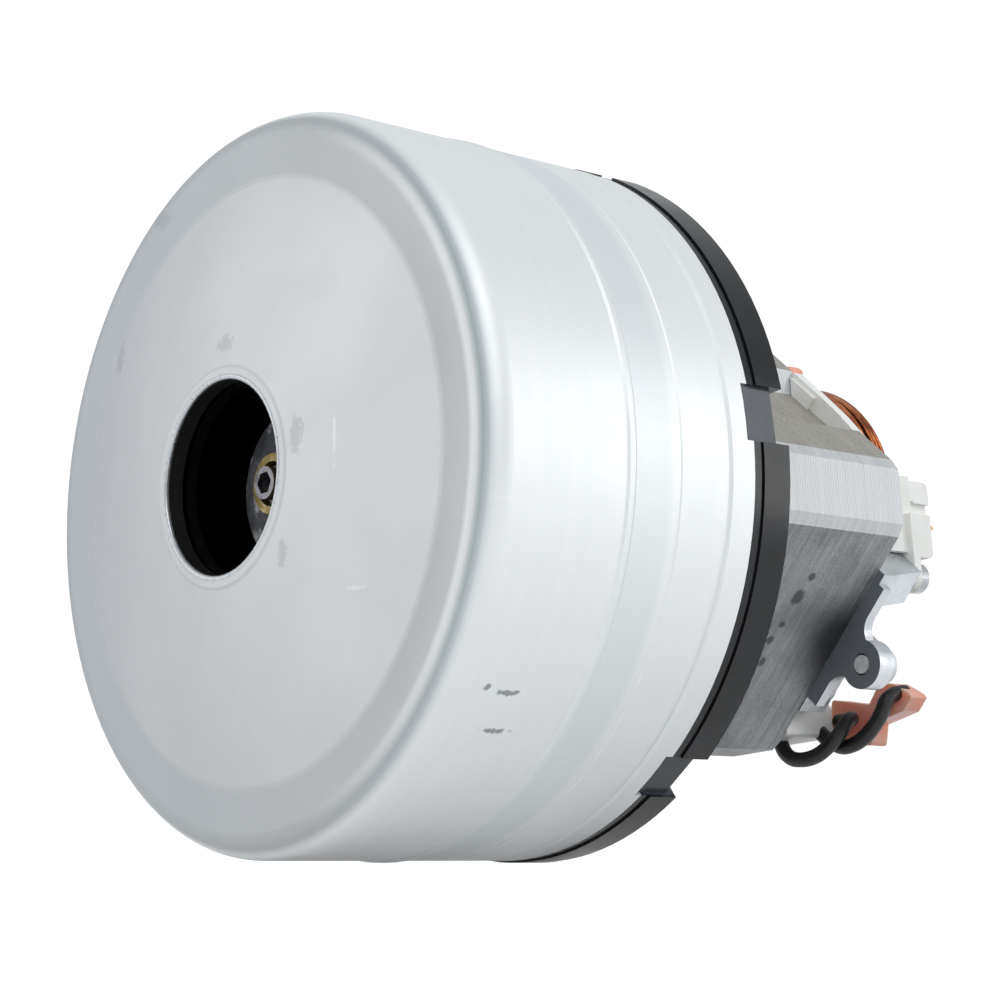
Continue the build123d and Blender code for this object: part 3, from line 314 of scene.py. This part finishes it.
def shadowed_aluminium():
    """The first fan's aluminium sheet, painted near black: painted shade, deep behind the inlet."""
    return grained("shadowed_aluminium", 2.0, ((0.3, "050505"), (0.7, "0C0C0D")), (0.45, 0.6),
                   (0.04, 0.3), Metallic=0.2, Specular_IOR_Level=0.1)


def rolled_aluminium():
    """Aluminium sheet as rolled: a fine one-way grain and a soft shine."""
    return grained("rolled_aluminium", (1.429, 8.333, 16.67), ((0.3, "9FA2A5"), (0.7, "BFC2C4")),
                   (0.3, 0.45), (0.04, 0.3), roughness=0.5, Metallic=1.0)


# The first fan is painted near black, as painted shade.
dress(shadowed_aluminium(), "fan1_front_plate", "fan1_blades", "fan1_back_plate")
dress(rolled_aluminium(), "fan2_front_plate", "fan2_blades", "fan2_back_plate", "interstage_guide",
      "stage2_inlet_plate")


# Shaft and its clamping: a ground steel shaft with a hexagon hole in its end. The nut presses a
# cupped brass washer and a domed, blackened steel one against the first fan.


def worn_ground_steel():
    """A ground shaft that has been handled: brown-grey film, rubbed bright in places."""
    return grained("worn_ground_steel", 2.381,
                   ((0.35, "5E5C60"), (0.6, "8F8D91"), (0.7, "D5D4D6")), (0.2, 0.4), (0.2, 0.4),
                   detail=4, Metallic=0.8)


def tarnished_brass():
    """Turned brass gone dull: olive, with paler rubbed spots."""
    return grained("tarnished_brass", 3.333,
                   ((0.3, "6A5932"), (0.6, "9A8552"), (0.72, "D8C9A0")), (0.25, 0.45), (0.2, 0.4),
                   detail=4, Metallic=0.7)


def blackened_steel_painted_glints():
    """Steel pressed to a dome and blackened: a grey film, with near-white painted highlights in
    patches.
    """
    return grained("blackened_steel_painted_glints", 5.263, ((0.35, "7A7B82"), (0.54, "95969C"), (0.6, "FAFAFA")),
                   (0.14, 0.3), (0.6, 0.6), detail=4, Metallic=0.3)


dress(worn_ground_steel(), "shaft", "shaft_nut")
dress(tarnished_brass(), "brass_washer")
dress(blackened_steel_painted_glints(), "clamp_washers")


# Fan-end bracket: the black ring and wall that join can and motor, moulded in glass-filled nylon
# with notches round its rim. The diffuser and the hidden hub and cages are nylon as well.

NOTCH_FLOOR_R = 71.85 * MM
RING_INNER_R = 70.0 * MM
RING_FRONT = 70.0 * MM


def moulded_black_nylon():
    """Glass-filled nylon, moulded: a soft gloss with dust, and paler floors in its notches."""
    m = Recipe("moulded_black_nylon")
    radius = m.from_shaft()
    _, along, _ = m.add("SeparateXYZ", m.place).node.outputs
    floors = m.mask((radius, NOTCH_FLOOR_R, NOTCH_FLOOR_R - 0.2 * MM),
                    (radius, RING_INNER_R, RING_INNER_R + 0.5 * MM),
                    (along, RING_FRONT, RING_FRONT + 0.4 * MM))
    wear = m.grain(7.143, 4, 0.65)
    dust = m.grain(0.6667, 3, 0.6)
    base = m.add("ValToRGB", wear, stops=((0.35, "0A0B0D"), (0.7, "14161A")))
    base = m.over(base, "6A6E72", m.mask((dust, 0.68, 0.76)), 0.2)
    base = m.over(base, "454D56", floors, 0.85)
    return m.shade(Base_Color=base, Roughness=m.add("MapRange", wear, 0.3, 0.7, 0.16, 0.26),
                   Specular_IOR_Level=0.32,
                   Normal=m.add("Bump", Height=dust, Distance=0.04 * MM, Strength=0.35))


def moulded_dark_nylon():
    """The same nylon on hidden pieces: even and matt."""
    return grained("moulded_dark_nylon", 1.111, ((0.3, "141416"), (0.7, "1E1F21")), (0.5, 0.5),
                   (0.04, 0.4))


dress(moulded_black_nylon(), "fan_end_bracket")
dress(moulded_dark_nylon(), "diffuser", "commutator_hub", "front_bearing_cage", "rear_bearing_cage")


# Turned steel pieces: the sleeves between the fans, both ball bearings, the bolts through the core
# and, of drawn wire, the brush springs.


def turned_steel():
    """Steel turned on a lathe: its shine is drawn out along the shaft's line."""
    return grained("turned_steel", (1.111, 16.67, 1.111), ((0.3, "9A9CA0"), (0.7, "C6C8CB")),
                   (0.2, 0.36), (0.03, 0.3), detail=2, roughness=0.5, Metallic=1.0)


dress(turned_steel(), "spacer_sleeves", "brush_spring_right", "brush_spring_left",
      "through_bolts_long", "through_bolts_short",
      *[f"{end}_bearing_{piece}" for end in ("front", "rear") for piece in ("outer", "inner", "balls")])


# Stator and armature cores: stacks of electrical steel sheet, punched and pressed together. The
# stator's is held by bolts between the two brackets, and has ink on its lower side.

SHEET_THICKNESS = 0.5
# A wave texture turns 20 radians for each unit of its scale.
WAVE_TURN = 20
# Painted shadow of the end bracket's flange on the core: a centre and half sizes in millimetres.
FLANGE_SHADE = ((30, 139, -25), (12, 14, 15))
INK_BLOTS = (((36.5, 120.5, -17.5), (2.2, 2, 2.2)), ((39.9, 121.2, -13.5), (1.2, 1.2, 1.5)),
             ((25.7, 120.7, -30.4), (1.5, 1, 1.5)), ((29.3, 119.4, -26), (1.5, 1.2, 1.3)),
             ((32, 120.4, -23), (1.2, 1, 1)))


def punched_electrical_steel():
    """Half-millimetre sheets, punched and stacked: fine lines, a tone by which way a face turns, a
    painted shadow.
    """
    m = Recipe("punched_electrical_steel")
    sheets = m.add("TexWave", m.place, wave_type="BANDS", bands_direction="Y", out="Fac",
                   Scale=2 * math.pi * per_metre(SHEET_THICKNESS) / WAVE_TURN)
    uneven = m.grain((33.33, 1.111, 33.33), 2, 0.5)
    grain = m.grain(0.5882, 3, 0.6)
    cloud = m.grain(16.67, 4, 0.6)
    _, _, upward = m.add("SeparateXYZ", m.add("NewGeometry", out="Normal")).node.outputs
    fine = m.weighed((sheets, 0.45), (uneven, 0.55))
    bright = m.add("ValToRGB", fine, stops=((0.2, "B4B6B8"), (0.5, "D0D2D4"), (0.8, "E6E8EA")))
    sandy = m.add("ValToRGB", m.weighed((fine, 0.5), (grain, 0.5)),
                  stops=((0.3, "85817A"), (0.5, "A5A199"), (0.7, "C2BEB5")))
    dull = m.add("ValToRGB", m.weighed((fine, 0.7), (grain, 0.3)),
                 stops=((0.25, "5A5B5E"), (0.5, "979A9D"), (0.75, "CCCED0")))
    dull = m.over(dull, "2C2B2B", m.mask((cloud, 0.42, 0.62)), 0.35)
    # Painted shadow where the bracket's flange shades the core.
    dull = m.over(dull, "29292A", m.spot(*FLANGE_SHADE, 0.3), 0.85)
    dull = m.marked(dull, "2F3033", 0.8, INK_BLOTS, ragged=0.15)
    # Faces turned up are sandy, and faces turned down take the darker tone.
    base = m.over(bright, sandy, m.mask((upward, 0.66, 0.72)))
    base = m.over(base, dull, m.mask((upward, -0.58, -0.62)))
    return m.shade(Base_Color=base, Metallic=0.45,
                   Roughness=m.add("MapRange", uneven, 0.3, 0.7, 0.4, 0.58),
                   Normal=m.add("Bump", Height=m.weighed((sheets, 1), (grain, 0.6)),
                                Distance=0.08 * MM, Strength=0.45))


dress(punched_electrical_steel(), "stator_core", "armature_core")


# Coils: enamelled copper wire, wound over white formers and dipped in varnish. The field coils are
# drawn as in the frame, in finer wire.

# X is along the pole. A place is a turn's radius over the core's end and the radius of its bend there.
COIL_ANGLE = math.radians(62.0)
COIL_OFFSET = 8.0 * MM
COIL_OUTER_R = 32.1 * MM
COIL_BEND = 10.4 * MM
COIL_LEG = 27.7 * MM
COIL_MIDDLE = 116.0 * MM
COIL_WIRE_R = 0.46 * MM
COIL_PITCH = 1.08 * MM
REAR_LOOPS = 6
SIDE_PLACES = (1, 2, 4, 5, 6)
BEND_STEPS = 8
ARC_STEPS = 26
POLE = math.radians(50.0)


def enamelled_copper_wire():
    """Drawn copper under clear enamel: deep orange with a sharp wet highlight."""
    return grained("enamelled_copper_wire", 3.846,
                   ((0.3, "74300F"), (0.55, "B4602A"), (0.8, "E8A468")), (0.14, 0.24),
                   Metallic=0.9, Coat_Weight=0.4, Coat_Roughness=0.15)


def shaded_copper_bundle():
    """The turns under the outer layer, painted near black: painted shade in the gaps between the wires.
    """
    return grained("shaded_copper_bundle", 3.333, ((0.3, "1E0C05"), (0.7, "3E1C0B")),
                   (0.3, 0.5), Metallic=0.4)


def rear_half(radius, bend):
    """From one leg, over the rear end of the core, to the other leg."""
    out = Vector((math.cos(COIL_ANGLE), math.sin(COIL_ANGLE)))
    along = Vector((math.sin(COIL_ANGLE), -math.cos(COIL_ANGLE)))
    arc_x = COIL_OFFSET / math.sin(COIL_ANGLE)
    arc_r = radius - COIL_OFFSET / math.tan(COIL_ANGLE)
    knee = []
    for k in range(BEND_STEPS):
        turn = math.pi / 2 * k / BEND_STEPS
        spot = out * radius + along * (COIL_OFFSET - bend * math.cos(turn))
        knee.append((spot.x, spot.y, COIL_LEG + bend * math.sin(turn)))
    arc = []
    for k in range(ARC_STEPS + 1):
        turn = COIL_ANGLE * (1 - 2 * k / ARC_STEPS)
        arc.append((arc_x + arc_r * math.cos(turn), arc_r * math.sin(turn), COIL_LEG + bend))
    return knee + arc + [(x, -y, z) for x, y, z in reversed(knee)]


def coil_points():
    """One wire, whose turns pass to the next place while they cross the front end."""
    places = [(COIL_OUTER_R - k * COIL_PITCH, COIL_BEND) for k in reversed(range(REAR_LOOPS))]
    places += [(COIL_OUTER_R, COIL_BEND - k * COIL_PITCH) for k in SIDE_PLACES]
    points = []
    for place, following in zip(places, places[1:] + places[-1:]):
        here = rear_half(*place)
        points += here
        for k, (a, b) in enumerate(zip(here, rear_half(*following))):
            x, y, z = Vector(a).lerp(Vector(b), k / (len(here) - 1))
            points.append((x, -y, -z))
    return points


def wire_curve(name, kind, points, radius, resolution):
    """A round wire through points, straight between them or, as NURBS, smooth past them."""
    curve = bpy.data.curves.new(name, "CURVE")
    curve.dimensions = "3D"
    curve.bevel_depth = radius
    curve.bevel_resolution = resolution
    curve.use_fill_caps = True
    spline = curve.splines.new(kind)
    spline.points.add(len(points) - 1)
    for spot, point in zip(spline.points, points):
        spot.co = (*point, 1)
    if kind == "NURBS":
        spline.order_u = 3
        spline.use_endpoint_u = True
        spline.resolution_u = 10
    return curve


def field_windings(material):
    points = coil_points()
    for side, turn in (("upper", POLE), ("lower", POLE + math.pi)):
        name = f"winding_{side}"
        out = Vector((math.cos(turn), 0, math.sin(turn)))
        across = Vector((-math.sin(turn), 0, math.cos(turn)))
        placed = [out * x + across * y + Vector((0, COIL_MIDDLE + z, 0)) for x, y, z in points]
        winding = still_piece(name, wire_curve(name, "POLY", placed, COIL_WIRE_R, 2), material)
        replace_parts(winding, f"field_winding_{side}")


copper = enamelled_copper_wire()
dress(copper, "armature_winding")
dress(shaded_copper_bundle(), "field_core_upper", "field_core_lower")
field_windings(copper)


# White mouldings: the coil formers behind the core, the terminal blocks at its corners and the
# brush holders at its sides, all moulded in electrical-grade polyester and pushed into place.


def moulded_white_polyester():
    """Electrical-grade polyester, moulded: slightly cloudy, satin, and lit a little from within."""
    m = Recipe("moulded_white_polyester")
    cloud = m.grain(8.333, 3, 0.5)
    grain = m.grain(0.7143, 2, 0.5)
    return m.shade(Base_Color=m.add("ValToRGB", cloud, stops=((0.3, "F0F0EB"), (0.7, "FAFAF7"))),
                   Roughness=0.42, Subsurface_Weight=0.15,
                   Subsurface_Radius=(2 * MM, 2 * MM, 1.5 * MM),
                   Normal=m.add("Bump", Height=grain, Distance=0.03 * MM, Strength=0.3))


dress(moulded_white_polyester(), "coil_formers_upper", "coil_formers_lower", "terminal_block_upper",
      "terminal_block_lower", "brush_holder_right", "brush_holder_left")


# Commutator, brushes and terminals: copper bars, carbon blocks that slide in brass tubes, and flat
# brass terminals. A spring behind each brush shortens as the brush slides back.

# The motor's own axes are turned this far about the shaft.
CLOCKING = math.radians(5.0)


def turned_copper():
    """Commutator copper, worn by the brushes in rings round the shaft."""
    return grained("turned_copper", (16.67, 0.6667, 16.67), ((0.3, "7A4326"), (0.7, "B8744A")),
                   (0.25, 0.45), (0.04, 0.4), roughness=0.5, Metallic=1.0)


def pressed_carbon():
    """Carbon powder, pressed and baked: black and granular."""
    return grained("pressed_carbon", 0.7692, ((0.3, "0D0D0E"), (0.7, "242426")), (0.6, 0.6),
                   (0.08, 0.5), detail=4, roughness=0.7)


def stamped_brass():
    """Brass strip, stamped: clean and yellow."""
    return grained("stamped_brass", 4.167, ((0.3, "8A6A2C"), (0.7, "D2AE5C")), (0.22, 0.4),
                   (0.1, 0.3), Metallic=1.0)


def sprung(name):
    """A coil spring, given a mesh of its own."""
    spring = nodes[name]
    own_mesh(spring)


dress(turned_copper(), "commutator_bars")
dress(pressed_carbon(), "carbon_brush_right", "carbon_brush_left")
dress(stamped_brass(), "terminal_tab_upper", "terminal_tab_lower", "brush_tube_right",
      "brush_tube_left", "brush_terminal_right", "brush_terminal_left")
sprung("brush_spring_right")
sprung("brush_spring_left")


# End bracket: aluminium, die cast, with legs to the core and an ear at each side. It holds the
# rear bearing, and a zinc-plated screw stands in each ear.


def die_cast_aluminium():
    """Aluminium cast in a die: a bright, rippled skin, and painted shade on the flange's front face."""
    m = Recipe("die_cast_aluminium")
    grain = m.grain(1.923, 5, 0.65)
    flow = m.grain(14.29, 3, 0.55)
    _, rearward, _ = m.add("SeparateXYZ", m.add("NewGeometry", out="Normal")).node.outputs
    # Painted shade: faces turned towards the can are darker and less metallic.
    front = m.mask((rearward, -0.9, -0.97))
    base = m.add("ValToRGB", flow, stops=((0.3, "B4B8BC"), (0.7, "DFE2E5")))
    return m.shade(Base_Color=m.over(base, "858B92", front),
                   Metallic=m.add("MapRange", front, 0.0, 1.0, 0.8, 0.2),
                   Roughness=m.add("MapRange", grain, 0.3, 0.7, 0.26, 0.5),
                   Normal=m.add("Bump", Height=m.weighed((grain, 1), (flow, 1)),
                                Distance=0.3 * MM, Strength=0.5))


def zinc_plated_steel():
    """Screws plated with bright zinc: near white."""
    return grained("zinc_plated_steel", 1.429, ((0.3, "DCDEE0"), (0.7, "F8F9FA")), (0.25, 0.4),
                   (0.1, 0.5), Metallic=0.1)


dress(die_cast_aluminium(), "end_bracket")
dress(zinc_plated_steel(), "ear_screws")


# Leads and connectors: stranded wire under black vinyl, crimped in connectors with salmon vinyl
# covers, which are pushed on flat terminals.

LEAD_R = 1.7 * MM
# Each lead's length and the same points as in the frame: x and y across the shaft, then the height
# along it, in millimetres on the motor's own axes.
LEADS = {
    "lead_lower_long": (0.030, (
        (25.6, 37.5, 163.0), (25.9, 37.9, 157.0), (24.2, 43.4, 155.6), (19.6, 48.4, 153.6),
        (13.4, 49.0, 152.4), (9.4, 44.6, 152.0))),
    "lead_lower_short": (0.034, (
        (1.3, 45.0, 147.6), (2.0, 50.0, 147.6), (10.6, 51.2, 147.8), (16.6, 47.4, 149.0),
        (17.0, 42.4, 153.6), (14.6, 42.3, 157.7), (9.9, 42.25, 157.7))),
    "lead_upper": (0.056, (
        (-10.2, -41.0, 162.6), (-17.0, -42.6, 165.0), (-25.0, -40.0, 166.0), (-31.0, -31.0, 167.0),
        (-33.0, -18.0, 169.0), (-31.4, -7.0, 171.4), (-26.2, -2.4, 171.6))),
}
COVER_LOW = (-14.4, 159.9, 35.8)
COVER_HIGH = (-1.1, 165.3, 43.2)
COVER_ROUND = 1.4 * MM


def extruded_black_vinyl():
    """Lead insulation, extruded: black with a soft, slightly uneven sheen."""
    return grained("extruded_black_vinyl", 0.625, ((0.3, "08080A"), (0.7, "141417")), (0.4, 0.55),
                   (0.04, 0.4))


def moulded_salmon_vinyl():
    """Soft vinyl, moulded: salmon, and light passes a few millimetres into it."""
    return grained("moulded_salmon_vinyl", 6.25, ((0.3, "FB9C84"), (0.7, "FFBCA8")), (0.3, 0.3),
                   (0.2, 0.2), roughness=0.5, Subsurface_Weight=0.7, Subsurface_Scale=1.0,
                   Subsurface_Radius=(6 * MM, 2.8 * MM, 2.2 * MM))


def from_motor(x, y, z):
    """A point of the motor's own axes, in millimetres, in the shared frame."""
    return Vector((x * math.cos(CLOCKING) + y * math.sin(CLOCKING), z,
                   x * math.sin(CLOCKING) - y * math.cos(CLOCKING))) * MM


def leads(material):
    for node, (length, route) in LEADS.items():
        name = node + "_cord"
        points = [from_motor(*spot) for spot in route]
        lead = still_piece(name, wire_curve(name, "NURBS", points, LEAD_R, 5), material)
        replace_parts(lead, node)


def connector_cover(material):
    """The upper connector's soft cover: a box between two corners in millimetres, all rounded."""
    shape = bmesh.new()
    bmesh.ops.create_cube(shape, size=1.0)
    for vert in shape.verts:
        vert.co = [((a + b) / 2 + share * (b - a)) * MM
                   for a, b, share in zip(COVER_LOW, COVER_HIGH, vert.co)]
    bmesh.ops.bevel(shape, geom=shape.edges[:], offset=COVER_ROUND, segments=4, profile=0.5,
                    affect="EDGES")
    bmesh.ops.recalc_face_normals(shape, faces=shape.faces[:])
    for face in shape.faces:
        face.smooth = True
    mesh = bpy.data.meshes.new("connector_cover")
    shape.to_mesh(mesh)
    shape.free()
    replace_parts(still_piece("connector_cover", mesh, material), "straight_connector")


salmon = moulded_salmon_vinyl()
dress(salmon, "flag_connector")
connector_cover(salmon)
leads(extruded_black_vinyl())


# Ground, world and lights: a white sweep that keeps only the contact shadow, under a pale sky and
# three softboxes.

FLOOR_Z = cad_box[0][2] - 0.02 * MM
FLOOR_SIZE = 12
FLOOR_GLOW = 0.6
FLOOR_GLOW_IN_METAL = 0.3
WORLD_GLOW = 0.76
WORLD_SEEN = 1.05
CENTRE = (0, 0.07, 0)
# Each lamp's name, place, size and power.
SOFTBOXES = (("key", (0.9, -0.5, 0.9), (0.9, 0.9), 5),
             ("left", (-0.8, -0.9, 0.4), (0.9, 0.9), 2.8),
             ("rear", (0.95, 0.9, 0.3), (0.5, 0.7), 2.8))


def white_ground():
    """White to the camera, less so in reflections, and grey in the light that it throws back."""
    m = Recipe("white_ground")
    camera = m.add("LightPath", out="Is Camera Ray")
    glossy = m.add("LightPath", out="Is Glossy Ray")
    seen = m.add("Math", camera, glossy, operation="MAXIMUM")
    glow = m.weighed((camera, FLOOR_GLOW), (glossy, FLOOR_GLOW_IN_METAL))
    material = m.shade(Base_Color=m.over("9C9C9C", "FFFFFF", seen), Roughness=0.9,
                       Emission_Color="FFFFFF", Emission_Strength=glow)
    bpy.ops.mesh.primitive_plane_add(size=FLOOR_SIZE, location=(0, 0, FLOOR_Z))
    ground = bpy.context.object
    ground.name = "ground"
    ground.data.materials.append(material)


def studio_world():
    """A soft grey-white sky that the camera sees as white."""
    world = bpy.data.worlds.new("studio")
    bpy.context.scene.world = world
    world.use_nodes = True
    tree = world.node_tree
    sky = tree.nodes["Background"]
    put(sky.inputs["Color"], "EDF1F4")
    put(sky.inputs["Strength"], WORLD_GLOW)
    camera = add_node(tree, "LightPath", out="Is Camera Ray")
    seen = add_node(tree, "Background", "FFFFFF", WORLD_SEEN)
    mix = add_node(tree, "MixShader", camera, sky.outputs["Background"], seen)
    put(tree.nodes["World Output"].inputs["Surface"], mix)


def softboxes():
    for name, place, size, power in SOFTBOXES:
        data = bpy.data.lights.new(name, "AREA")
        data.shape = "RECTANGLE"
        data.size, data.size_y = size
        data.energy = power
        light = bpy.data.objects.new(name, data)
        bpy.context.collection.objects.link(light)
        light.location = place
        back = Vector(place) - Vector(CENTRE)
        light.rotation_euler = back.to_track_quat("Z", "Y").to_euler()


white_ground()
studio_world()
softboxes()


# The photograph's camera: level roll, a little below the shaft, looking slightly up. Its lens and
# place were fitted to the outlines of the can, the ring and the core.

CAMERA_LENS = 86.65
CAMERA_PLACE = (0.3782, -0.2508, -0.07115)
CAMERA_BACK = (0.7547, -0.6397, -0.1466)


def photo_camera():
    data = bpy.data.cameras.new("photo_camera")
    data.lens = CAMERA_LENS
    data.sensor_width = 36.0
    data.clip_start = 0.01
    camera = bpy.data.objects.new("photo_camera", data)
    bpy.context.collection.objects.link(camera)
    camera.location = CAMERA_PLACE
    camera.rotation_euler = Vector(CAMERA_BACK).to_track_quat("Z", "Y").to_euler()
    bpy.context.scene.camera = camera


photo_camera()
scene = bpy.context.scene
scene.view_settings.view_transform = "Standard"
